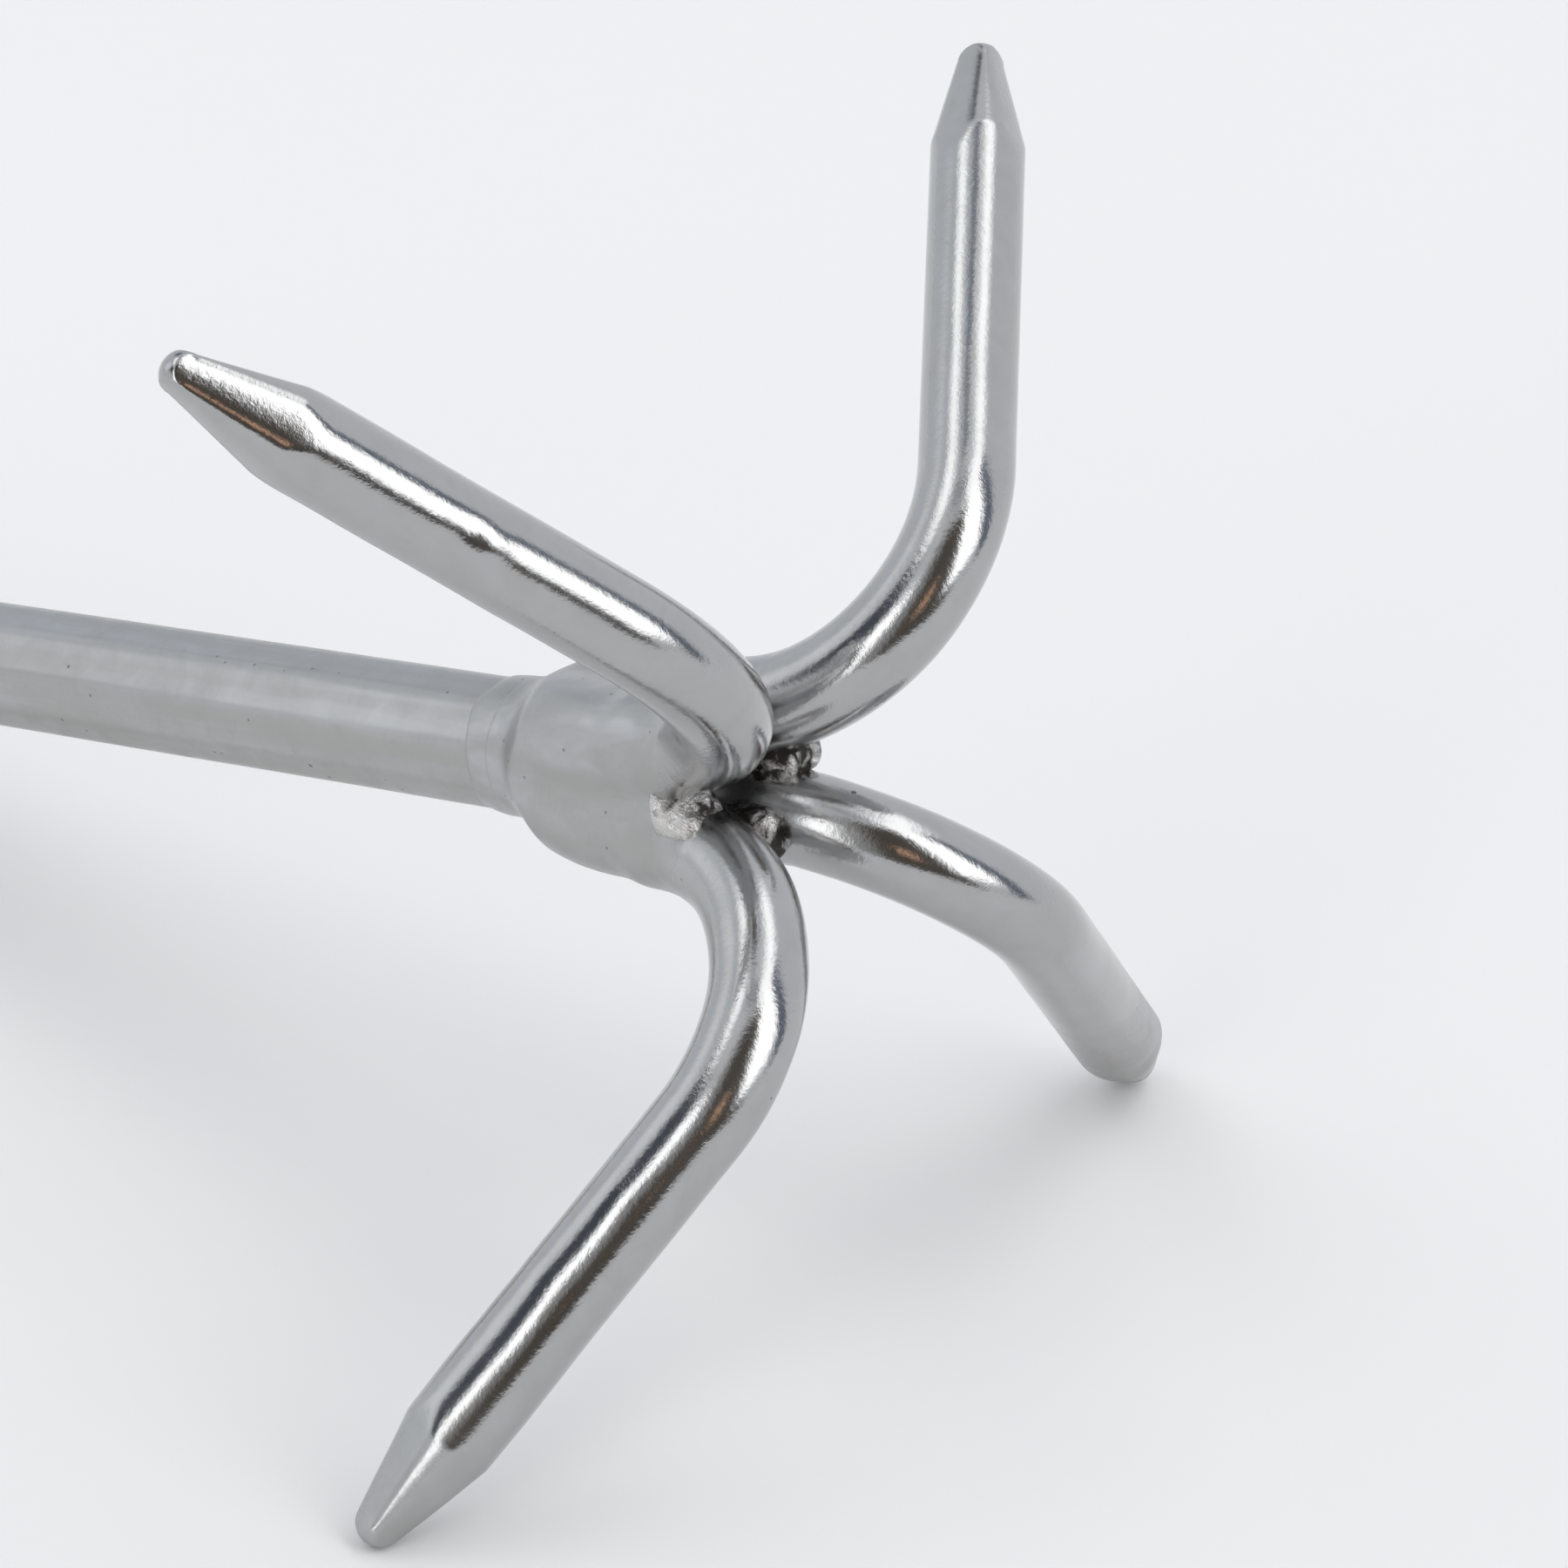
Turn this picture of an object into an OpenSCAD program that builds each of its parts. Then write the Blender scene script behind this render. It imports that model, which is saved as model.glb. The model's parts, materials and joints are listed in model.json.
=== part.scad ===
// A welded four-tine grapnel of stainless round rod, with a loose rope ring in its heel.
// It lies at rest on its two lower tine tips, the heel of its shank and its ring.
// +X runs from the ring towards the tines and +Z is up. The origin is on the ground,
// below the middle of the whole object. All sizes are in millimetres.

/* [Tines] */
// Diameter of the tine rod
rod_d = 10; // [8:0.5:13]
// Bend radius of the tines, at the middle of the rod
bend_r = 21; // [16:0.5:30]
// Swell of the rod's radius where it is bent
bend_swell = 0.02; // [0.02:0.01:0.2]
// Length of a tine from the end of its bend to its tip
tine_l = 52; // [40:1:80]
// Bend of tines 1 to 4 from straight ahead, in degrees, as bent by hand
tine_bend = [111.5, 113.5, 114.5, 112.5]; // [100:0.5:120]
// Twist of tines 1 to 4 about their own roots, in degrees, as welded by hand
tine_twist = [-1.5, 0, 2.5, -1]; // [-4:0.5:4]

/* [Tine points] */
// Length of the tapered point, tip included
point_l = 13; // [9:0.5:20]
// Radius of the blunt tip
tip_r = 2.5; // [1.5:0.1:3.5]
// Depth of the four flats ground on each point
flat_depth = 0.45; // [0.1:0.05:0.8]

/* [Crown] */
// Length of the ground crown, from the shank to where the tines bend
crown_l = 22.5; // [18:0.5:34]
// Weld gap between the roots of neighbouring tines
root_gap = 0.6; // [0.3:0.1:1.5]
// Depth ground off the outside of the roots at the front of the crown
crown_grind = 0.1; // [0.05:0.05:0.5]
// Depth ground off the roots on the crown's four sides
side_grind = 0.2; // [0.05:0.05:0.5]
// Even taper of the crown's radius along its length
crown_taper = 1.6; // [0.5:0.1:3]

/* [Welds] */
// Reach from the axis of the front welds between tines 1-2, 2-3, 3-4 and 4-1
bead_reach = [11, 11, 9.5, 11.5]; // [7:0.5:13]
// How far the front welds stand ahead of the crown
bead_front = 9.5; // [7:0.5:9.5]
// Radius of the rounded face of a front weld
bead_r = 5.5; // [5:0.5:6]
// Width of the weld around the front of the shank
seam_w = 4; // [2:0.5:8]
// Height of the weld around the front of the shank
seam_h = 0.4; // [0.2:0.1:1]

/* [Shank] */
// Diameter of the shank
shank_d = 14; // [12:0.5:18]
// Length of the shank behind the crown
shank_l = 181.5; // [130:0.5:240]
// Radius of the rounded edge of the heel
heel_fillet = 3.5; // [1:0.5:5]
// Distance from the heel to the axis of the ring's hole
hole_inset = 13.5; // [11:0.5:20]

/* [Rope ring] */
// Inside diameter of the rope ring
ring_inner_d = 40; // [34:1:60]
// Diameter of the ring's rod
ring_rod_d = 6; // [4:0.5:8]
// Play around the ring's rod in its hole
ring_play = 0.8; // [0.3:0.1:1]
// Width of the weld that closes the ring
ring_weld_w = 4; // [2:0.5:6]
// Height of the ring's weld above its rod
ring_weld_h = 0.3; // [0.1:0.1:0.6]

/* [Hidden] */
$fn = 96;

polished = [0.80, 0.81, 0.83];
ground = [0.70, 0.72, 0.73];
raw_weld = [0.45, 0.44, 0.43];

rod_r = rod_d / 2;
bent_r = rod_r + bend_swell;
shank_r = shank_d / 2;
ring_rod_r = ring_rod_d / 2;

// Four roots around the axis, as close as their weld gap allows.
root_pitch_r = (rod_d + root_gap) / sqrt(2);
// The flats face the gaps between the tines, the roots lie at 45 degrees to them.
root_azimuth = [225, 135, 45, -45];
bead_azimuth = [180, 90, 0, 270];

// The crown narrows evenly at first, then rounds down to the shank's weld.
crown_front_r = root_pitch_r + rod_r - crown_grind;
crown_rear_r = shank_r + seam_h;
crown_side = root_pitch_r * cos(45) + rod_r - side_grind;
crown_steps = 14;
function crown_r(back) = crown_front_r - crown_taper * back
                         - (crown_front_r - crown_taper - crown_rear_r) * pow(back, 4);

// The point's cone runs almost tangent into its ball tip, and ends just inside it.
tip_sink = 0.05;
cone_l = point_l - tip_r;
cone_angle = acos(tip_r / norm([rod_r, cone_l])) - atan2(cone_l, rod_r);
cone_end = cone_l + tip_r * sin(cone_angle);
cone_end_r = tip_r * cos(cone_angle) - tip_sink;

// Where each tine's tip ball lies: out from its root's axis, and ahead of the crown.
ball_l = tine_l - tip_r;
function tip_out(i) = bend_r * (1 - cos(tine_bend[i])) + ball_l * sin(tine_bend[i]);
function tip_ahead(i) = bend_r * sin(tine_bend[i]) + ball_l * cos(tine_bend[i]);
function tip_down(i, turn) = root_pitch_r * cos(root_azimuth[i] + turn)
                             + tip_out(i) * cos(root_azimuth[i] + tine_twist[i] + turn);
function tip_side(i) = root_pitch_r * sin(root_azimuth[i])
                       + tip_out(i) * sin(root_azimuth[i] + tine_twist[i]);

// The angle of the shank above the ground, when the heel and a ball tip that lies
// ahead of the crown and down from the axis both rest on the ground.
heel_back = crown_l + shank_l - heel_fillet;
heel_down = shank_r - heel_fillet;
function rest_angle(ahead, down) =
    let (run = ahead + heel_back, drop = down - heel_down)
    atan2(drop, run) + asin((tip_r - heel_fillet) / norm([run, drop]));

// Tines 3 and 4 rest on the ground, and the head rolls a little so that both touch.
first_angle = rest_angle(tip_ahead(2), tip_down(2, 0));
tip_3_high = tip_ahead(2) * tan(first_angle) - tip_down(2, 0);
tip_4_high = tip_ahead(3) * tan(first_angle) - tip_down(3, 0);
head_roll = atan2(tip_4_high - tip_3_high, tip_side(2) - tip_side(3));
lay_angle = rest_angle(tip_ahead(2), tip_down(2, head_roll));
axis_h = heel_back * sin(lay_angle) + heel_down * cos(lay_angle) + heel_fillet;

// The ring's rod is bent, so its hole is wider than the rod by the bow of the ring.
ring_r = (ring_inner_d + ring_rod_d) / 2;
ring_slope = asin(shank_r / ring_r);
ring_bow = ring_r * (1 - cos(ring_slope));
hole_d = ring_rod_d / cos(ring_slope) + ring_bow + 2 * ring_play;
hole_back = crown_l + shank_l - hole_inset;
hole_h = axis_h - hole_back * sin(lay_angle);
ring_reach = 2 * ring_r - ring_bow / 2;
ring_angle = asin((hole_h - ring_rod_r) / ring_reach);
ring_weld_turn = 2 * asin(ring_weld_w / 2 / ring_r);
ring_weld_azimuth = 130;

// The middle of the object, between its foremost bend and the back of the ring.
front_x = norm([bend_r * cos(lay_angle), bend_r * sin(lay_angle) * cos(45)])
          + (root_pitch_r + bend_r) * sin(lay_angle) * cos(45) + rod_r;
back_x = -hole_back * cos(lay_angle) - ring_reach * cos(ring_angle) - ring_rod_r;
middle_x = (front_x + back_x) / 2;

// Lays the object on the ground. Before this, its axis is Z, with the tines ahead.
module lay() {
    translate([-middle_x, 0, axis_h])
        rotate([0, 90 - lay_angle, 0])
            children();
}

// The head, with its roll, laid on the ground.
module lay_head() {
    lay() rotate([0, 0, head_roll]) children();
}

// The shape that the roots and their welds are ground to.
module crown_envelope() {
    side = 2 * crown_side;
    intersection() {
        rotate_extrude()
            polygon(concat(
                [[0, -crown_l], [0, 0]],
                [for (i = [0 : crown_steps]) [crown_r(i / crown_steps), -crown_l * i / crown_steps]]
            ));
        translate([-crown_side, -crown_side, -crown_l])
            cube([side, side, crown_l]);
    }
}

// Places a tine's root: its axis on Z, and X pointing away from the shank's axis.
module at_root(i) {
    rotate([0, 0, root_azimuth[i]])
        translate([root_pitch_r, 0, 0])
            children();
}

// The straight of a tine and its tapered point, on Z, from the end of the bend.
module tine_straight() {
    shoulder = tine_l - point_l;
    cut = 2 * point_l + rod_d;
    difference() {
        union() {
            rotate_extrude()
                polygon([
                    [0, 0],
                    [rod_r, 0],
                    [rod_r, shoulder],
                    [cone_end_r, shoulder + cone_end],
                    [0, shoulder + cone_end]
                ]);
            translate([0, 0, tine_l - tip_r]) sphere(r = tip_r);
        }
        for (side = [0 : 3])
            rotate([0, 0, 90 * side])
                translate([rod_r, 0, shoulder])
                    rotate([0, -cone_angle, 0])
                        translate([-flat_depth, -rod_d, -point_l / 2])
                            cube([rod_d, 2 * rod_d, cut]);
    }
}

// The bend of tine i, from its root's axis at Z = 0, through the given angle.
module tine_bend(i, angle) {
    rotate([0, 0, tine_twist[i]])
        translate([bend_r, 0, 0])
            rotate([90, 0, 180])
                rotate_extrude(angle = angle)
                    translate([bend_r, 0])
                        circle(r = bent_r);
}

// The bend and the straight of tine i.
module tine_arm(i) {
    tine_bend(i, tine_bend[i]);
    rotate([0, 0, tine_twist[i]])
        translate([bend_r, 0, 0])
            rotate([0, tine_bend[i], 0])
                translate([-bend_r, 0, 0])
                    tine_straight();
}

module tine(i) {
    color(polished)
        lay_head() {
            intersection() {
                at_root(i) translate([0, 0, -crown_l]) cylinder(h = crown_l, r = rod_r);
                crown_envelope();
            }
            at_root(i) tine_arm(i);
        }
}

// The gaps between the roots, as a cross as wide as the roots' axes are apart.
module gap_filling() {
    across = sqrt(2) * root_pitch_r;
    for (turn = [0, 90])
        rotate([0, 0, turn])
            translate([-crown_front_r, -across / 2, -crown_l])
                cube([2 * crown_front_r, across, crown_l]);
}

// The weld between the roots, ground flush with them.
module crown_weld() {
    color(ground)
        lay_head()
            difference() {
                intersection() {
                    crown_envelope();
                    gap_filling();
                }
                for (i = [0 : 3])
                    at_root(i)
                        translate([0, 0, -crown_l - 1])
                            cylinder(h = crown_l + 2, r = rod_r);
            }
}

// The weld ahead of the crown, in the gap between tine i and the next one.
module bead(i) {
    next = (i + 1) % 4;
    sector = bead_reach[i] + bead_r;
    color(raw_weld)
        lay_head()
            difference() {
                intersection() {
                    rotate([0, 0, bead_azimuth[i]])
                        translate([bead_reach[i] - bead_r, 0, bead_front - bead_r])
                            sphere(r = bead_r);
                    rotate([0, 0, bead_azimuth[i]])
                        linear_extrude(bead_front + 1)
                            polygon([[0, 0], [sector, -sector], [sector, sector]]);
                }
                at_root(i) tine_bend(i, 360);
                at_root(next) tine_bend(next, 360);
            }
}

// The weld that runs around the front of the shank.
module seam_weld() {
    color(ground)
        lay()
            translate([0, 0, -crown_l])
                rotate_extrude()
                    polygon([
                        [shank_r, 0],
                        [shank_r + seam_h, 0],
                        [shank_r + seam_h * 0.8, -seam_w / 2],
                        [shank_r, -seam_w]
                    ]);
}

module shank() {
    color(ground)
        lay()
            difference() {
                translate([0, 0, -crown_l])
                    rotate_extrude()
                        shank_outline();
                translate([0, 0, -hole_back])
                    rotate([90, 0, 0])
                        cylinder(h = 2 * shank_d, d = hole_d, center = true);
            }
}

// Half of the shank's outline, with its rounded heel.
module shank_outline() {
    straight = shank_l - heel_fillet;
    translate([0, -straight]) square([shank_r, straight]);
    translate([0, -shank_l]) square([heel_down, shank_l]);
    translate([heel_down, -straight]) circle(r = heel_fillet);
}

// Places the ring: its hole's axis on Y at the origin, and the ring along -X.
module at_hole() {
    translate([-middle_x - hole_back * cos(lay_angle), 0, hole_h])
        rotate([0, -ring_angle, 0])
            translate([ring_bow / 2 - ring_r, 0, 0])
                children();
}

module rope_ring() {
    color(polished)
        at_hole()
            rotate([0, 0, ring_weld_azimuth + ring_weld_turn / 2])
                rotate_extrude(angle = 360 - ring_weld_turn)
                    translate([ring_r, 0])
                        circle(r = ring_rod_r);
}

// The butt weld that closes the ring.
module ring_weld() {
    color(ground)
        at_hole()
            rotate([0, 0, ring_weld_azimuth - ring_weld_turn / 2])
                rotate_extrude(angle = ring_weld_turn)
                    translate([ring_r, 0])
                        circle(r = ring_rod_r + ring_weld_h);
}

shank();
tine(0);  // tine_1
tine(1);  // tine_2
tine(2);  // tine_3
tine(3);  // tine_4
crown_weld();
seam_weld();
bead(0);  // bead_12
bead(1);  // bead_23
bead(2);  // bead_34
bead(3);  // bead_41
rope_ring();
ring_weld();
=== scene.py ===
import json
import math

import bpy
import numpy as np
from mathutils import Matrix, Vector


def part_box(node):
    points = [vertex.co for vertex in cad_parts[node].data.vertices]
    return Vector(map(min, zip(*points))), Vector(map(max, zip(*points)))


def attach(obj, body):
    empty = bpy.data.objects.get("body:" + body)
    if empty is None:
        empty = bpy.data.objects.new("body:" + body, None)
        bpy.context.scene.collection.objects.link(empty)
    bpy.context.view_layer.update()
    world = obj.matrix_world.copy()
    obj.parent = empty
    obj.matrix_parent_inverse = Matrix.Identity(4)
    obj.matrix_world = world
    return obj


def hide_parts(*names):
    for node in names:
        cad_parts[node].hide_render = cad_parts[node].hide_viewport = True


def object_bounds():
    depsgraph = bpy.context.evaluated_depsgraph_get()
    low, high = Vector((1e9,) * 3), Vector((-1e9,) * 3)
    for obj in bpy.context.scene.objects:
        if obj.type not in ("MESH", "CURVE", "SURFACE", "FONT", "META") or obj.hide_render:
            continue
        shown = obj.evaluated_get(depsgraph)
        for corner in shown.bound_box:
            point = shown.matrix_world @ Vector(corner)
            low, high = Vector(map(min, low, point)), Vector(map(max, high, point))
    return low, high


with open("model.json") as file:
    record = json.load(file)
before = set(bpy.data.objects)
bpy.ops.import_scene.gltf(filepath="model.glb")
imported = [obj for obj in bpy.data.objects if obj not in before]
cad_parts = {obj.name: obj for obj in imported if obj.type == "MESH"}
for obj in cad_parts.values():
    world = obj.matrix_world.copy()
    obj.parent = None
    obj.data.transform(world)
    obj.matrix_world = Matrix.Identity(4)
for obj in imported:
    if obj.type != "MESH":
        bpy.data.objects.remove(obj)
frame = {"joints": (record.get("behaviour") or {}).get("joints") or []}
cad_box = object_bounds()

# ---------------------------------------------------------------- camera
# The photograph's viewing angle: it looks down at the crown from ahead and one side.
CAMERA_AZIMUTH = math.radians(-40.82)
CAMERA_ELEVATION = math.radians(29.12)
CAMERA_ROLL = math.radians(2.063)
CAMERA_DISTANCE = 0.618
CAMERA_LENS = 137.8
AIM_FROM_CROWN = Vector((0.01255, 0.0116, -0.00302))


def make_camera():
    """A camera that looks past the middle of the crown, at the photograph's angle."""
    low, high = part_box("crown_weld")
    aim = (low + high) / 2 + AIM_FROM_CROWN
    flat = math.cos(CAMERA_ELEVATION)
    ahead = Vector((
        math.sin(CAMERA_AZIMUTH) * flat,
        math.cos(CAMERA_AZIMUTH) * flat,
        -math.sin(CAMERA_ELEVATION),
    ))
    right = ahead.cross(Vector((0, 0, 1))).normalized()
    up = right.cross(ahead)
    c, s = math.cos(CAMERA_ROLL), math.sin(CAMERA_ROLL)
    data = bpy.data.cameras.new("camera")
    data.lens = CAMERA_LENS
    data.sensor_width = 36
    camera = bpy.data.objects.new("camera", data)
    bpy.context.scene.collection.objects.link(camera)
    turn = Matrix((c * right + s * up, c * up - s * right, -ahead)).transposed()
    camera.matrix_world = Matrix.Translation(aim - ahead * CAMERA_DISTANCE) @ turn.to_4x4()
    bpy.context.scene.camera = camera


make_camera()
bpy.context.scene.view_settings.view_transform = "Standard"

# ---------------------------------------------------------------- sizes
# In millimetres: part.scad's sizes, and what the visual model adds to them or grinds
# off. Meshes are made in the frame of the shank's axis, with Z = 0 where the tines
# start to bend, and then placed by the ring's joint, which the record gives.
MM = 0.001

# tines
ROD_R = 5.0
BEND_R = 21.0
TINE_L = 52.0
TINE_BEND = [math.radians(a) for a in (111.5, 113.5, 114.5, 112.5)]
TINE_TWIST = [math.radians(a) for a in (-1.5, 0.0, 2.5, -1.0)]
ROOT_AZIMUTH = [math.radians(a) for a in (225, 135, 45, -45)]
ROOT_PITCH_R = 7.49533
# Each tine's point: its length, its tip's radius and how much shorter it is ground,
# then the depth of its four flats, and how plane they are.
POINT_L = [13.0, 13.0, 9.5, 13.0]
TIP_R = [2.5, 2.5, 3.3, 2.5]
TIP_GROUND = [0.0, 0.0, 0.9, 0.0]
FLAT_DEPTH = [0.42, 0.42, 0.15, 0.45]
FLATNESS = [0.75, 0.8, 0.25, 1.0]

# crown, shank and the weld between them. CROWN_RISE is the length of the hollow curve
# in which the crown rises from the shank.
CROWN_L = 22.5
CROWN_RISE = 7.5
CROWN_FRONT_R = 12.395
CROWN_TAPER = 1.6
CROWN_SIDE = 10.1
SHANK_R = 7.0
SHANK_L = 181.5
HEEL_FILLET = 3.5
# Long flats ground along the shank: their side in degrees and their depth.
SHANK_FLATS = [
    (30, 0.16), (68, 0.10), (104, 0.2), (150, 0.14), (189, 0.26), (231, 0.26), (272, 0.16),
    (308, 0.2), (345, 0.1),
]
HOLE_BACK = 190.5
HOLE_R = 4.495
SEAM_W = 4.0
SEAM_H = 0.4

# the raw weld beads in the gaps between tines 1-2, 2-3, 3-4 and 4-1: which way each
# lies, its reach from the axis, how far it is off to one side and how wide, how much
# further ahead than BEAD_FRONT, its lean, and how much brighter it is: how much of the
# painted shade in its crevices is taken off
BEAD_AZIMUTH = [math.radians(a) for a in (180, 90, 0, 270)]
BEAD_REACH = [11.0, 11.0, 9.0, 10.6]
BEAD_FRONT = 9.5
BEAD_R = 5.5
BEAD_ASIDE = [0.0, 0.0, 0.0, 0.7]
BEAD_W = [4.5, 4.5, 4.5, 5.4]
BEAD_EXTRA = [0.0, -0.3, 1.0, -1.0]
BEAD_LEAN = [math.radians(a) for a in (0, 0, 0, 14)]
BEAD_LESS_SHADE = [0.15, 0.0, 0.0, 0.22]

# the ring, and how the hook and the ring lie
RING_R = 23.0
RING_ROD_R = 3.0
RING_BOW = 1.0911
RING_WELD_AZIMUTH = math.radians(130)
RING_WELD_HALF = 2.0
RING_HAZE, RING_WELD_HAZE = 0.15, 0.8
LAY_ANGLE = math.radians(14.5708)
HEAD_ROLL = math.radians(-0.457263)
RING_ANGLE = math.radians(8.09822)

HOLE = Vector(frame["joints"][0]["pos_m"])
LAY = (
    Matrix.Translation(HOLE)
    @ Matrix.Rotation(math.pi / 2 - LAY_ANGLE, 4, "Y")
    @ Matrix.Translation((0, 0, HOLE_BACK * MM))
)
LAY_HEAD = LAY @ Matrix.Rotation(HEAD_ROLL, 4, "Z")
AT_HOLE = (
    Matrix.Translation(HOLE)
    @ Matrix.Rotation(-RING_ANGLE, 4, "Y")
    @ Matrix.Translation(((RING_BOW / 2 - RING_R) * MM, 0, 0))
)


# ---------------------------------------------------------------- numbers
def smooth(low, high, x):
    """0 below low, 1 above high, and an even rise between them."""
    t = np.clip((x - low) / (high - low), 0, 1)
    return t * t * (3 - 2 * t)


def blend_min(a, b, k):
    """The smaller of two fields, with a fillet of about k where they meet."""
    h = np.clip(0.5 + 0.5 * (b - a) / k, 0, 1)
    return b * (1 - h) + a * h - k * h * (1 - h)


def blend_max(a, b, k):
    """The larger of two fields, with an edge rounded by about k where they meet."""
    return -blend_min(-a, -b, k)


LATTICE = 32
NOISE_SEED = 41
NOISE_SHIFT = 7.3
lattice = np.random.default_rng(NOISE_SEED).uniform(-1, 1, (LATTICE,) * 3)


def noise(points, size):
    """Smooth noise from about -1 to 1, whose lumps are about size apart."""
    q = points / size + NOISE_SHIFT
    cell = np.floor(q).astype(int)
    t = q - cell
    t = t * t * (3 - 2 * t)
    total = np.zeros(len(points))
    for corner in np.ndindex(2, 2, 2):
        share = np.ones(len(points))
        for axis, end in enumerate(corner):
            share *= t[:, axis] if end else 1 - t[:, axis]
        i, j, k = ((cell + corner) % LATTICE).T
        total += share * lattice[i, j, k]
    return total


# A turn that keeps a second layer of noise from lining up with the first.
TILT = np.array(Matrix.Rotation(0.9, 3, Vector((1, 2, 3))))


# ---------------------------------------------------------------- meshes
def make_object(name, vertices, faces, place, uv=None, normals=None, fields=None):
    """A smooth-shaded mesh object from points in millimetres. Its points' places in
    their own frame are kept for its material, which stays with the piece as it moves."""
    turn, shift = np.array(place.to_3x3()), np.array(place.translation)
    local = np.asarray(vertices) * MM
    mesh = bpy.data.meshes.new(name)
    mesh.from_pydata((local @ turn.T + shift).tolist(), [], faces)
    mesh.shade_smooth()
    kept = mesh.attributes.new("place", "FLOAT_VECTOR", "POINT")
    kept.data.foreach_set("vector", local.astype(np.float32).ravel())
    if uv is not None:
        layer = mesh.uv_layers.new(name="along")
        layer.data.foreach_set("uv", np.asarray(uv, np.float32).ravel())
    for key, values in (fields or {}).items():
        attribute = mesh.attributes.new(key, "FLOAT", "POINT")
        attribute.data.foreach_set("value", np.asarray(values, np.float32))
    if normals is not None:
        mesh.normals_split_custom_set_from_vertices((normals @ turn.T).tolist())
    piece = bpy.data.objects.new(name, mesh)
    bpy.context.scene.collection.objects.link(piece)
    return piece


def ring_grid(rings, capped):
    """Faces and UVs, in metres, of rings of points that follow each other.
    capped: both ends close to a point. Otherwise the last ring joins the first."""
    count, around = rings.shape[:2]
    index = np.arange(count * around).reshape(count, around)
    after = np.roll(index, -1, axis=1)
    middles = rings.mean(axis=1)
    along = np.r_[0, np.cumsum(np.linalg.norm(np.diff(middles, axis=0), axis=1))]
    width = np.linalg.norm(rings[:, 0] - middles, axis=1).max() * 2 * math.pi
    faces, uv = [], []
    last = count - 1 if capped else count
    turn = np.arange(around + 1) / around * width * MM
    for i in range(last):
        n = (i + 1) % count
        v0 = along[i] * MM
        v1 = v0 + np.linalg.norm(middles[n] - middles[i]) * MM
        faces += np.c_[index[i], after[i], after[n], index[n]].tolist()
        u0, u1 = turn[:-1], turn[1:]
        block = np.empty((around, 4, 2))
        block[:, 0, 0], block[:, 1, 0], block[:, 2, 0], block[:, 3, 0] = u0, u1, u1, u0
        block[:, :2, 1], block[:, 2:, 1] = v0, v1
        uv.append(block.reshape(-1, 2))
    if capped:
        for end, row in ((0, index[0][::-1]), (count - 1, index[-1])):
            faces.append(row.tolist())
            uv.append(np.full((around, 2), along[end] * MM))
    return faces, np.concatenate(uv)


def sample(field, low, high, step):
    """The field's values on a grid of points."""
    axes = [np.arange(a, b + step, step) for a, b in zip(low, high)]
    grid = np.stack(np.meshgrid(*axes, indexing="ij"), -1)
    return field(grid.reshape(-1, 3)).reshape(grid.shape[:3])


def slope(field, points, reach=0.02):
    """The field's gradient at some points."""
    columns = []
    for axis in range(3):
        aside = np.zeros(3)
        aside[axis] = reach
        columns.append((field(points + aside) - field(points - aside)) / (2 * reach))
    return np.stack(columns, 1)


NEWTON_STEPS = 4


def net(field, low, high, step):
    """Vertices, quads and normals of the surface where the field is zero: one vertex in
    each crossed cell, pulled onto the surface."""
    low = np.asarray(low, float)
    values = sample(field, low, high, step)
    shape = np.array(values.shape) - 1
    total = np.zeros((shape.prod(), 3))
    hits = np.zeros(shape.prod())
    crossings = []
    for axis in range(3):
        one, two = (axis + 1) % 3, (axis + 2) % 3
        first = np.take(values, range(shape[axis]), axis)
        second = np.take(values, range(1, shape[axis] + 1), axis)
        found = (first < 0) != (second < 0)
        at = np.argwhere(found)
        part = first[found] / (first[found] - second[found])
        spot = at.astype(float)
        spot[:, axis] += part
        around = []
        for a, b in ((-1, -1), (0, -1), (0, 0), (-1, 0)):
            cell = at.copy()
            cell[:, one] += a
            cell[:, two] += b
            flat = np.ravel_multi_index(cell.T, shape)
            around.append(flat)
            for k in range(3):
                total[:, k] += np.bincount(flat, spot[:, k], len(total))
            hits += np.bincount(flat, minlength=len(total))
        quad = np.stack(around, 1)
        inward = first[found] >= 0
        quad[inward] = quad[inward][:, ::-1]
        crossings.append(quad)
    used = np.flatnonzero(hits)
    number = np.zeros(len(total), int)
    number[used] = np.arange(len(used))
    points = low + total[used] / hits[used, None] * step
    for _ in range(NEWTON_STEPS):
        way = slope(field, points)
        size = np.maximum((way * way).sum(1), 0.05)
        shift = (-field(points) / size)[:, None] * way
        reach = np.linalg.norm(shift, axis=1)
        shift *= np.minimum(1, 0.4 * step / np.maximum(reach, 1e-9))[:, None]
        points = points + shift
    way = slope(field, points)
    normals = way / np.maximum(np.linalg.norm(way, axis=1), 1e-9)[:, None]
    return points, number[np.concatenate(crossings)].tolist(), normals


def make_net(name, field, low, high, step, place, fields):
    """An object around a field. fields: what gives each attribute's value at points."""
    points, quads, normals = net(field, low, high, step)
    extra = {key: give(points) for key, give in fields.items()}
    return make_object(name, points, quads, place, normals=normals, fields=extra)


def even(value):
    """A field for make_net with one value all over."""
    return lambda points: np.full(len(points), value)


# ---------------------------------------------------------------- shapes
def unit(angle):
    """The crosswise direction at an angle around the shank's axis."""
    return np.array([math.cos(angle), math.sin(angle), 0.0])


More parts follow.
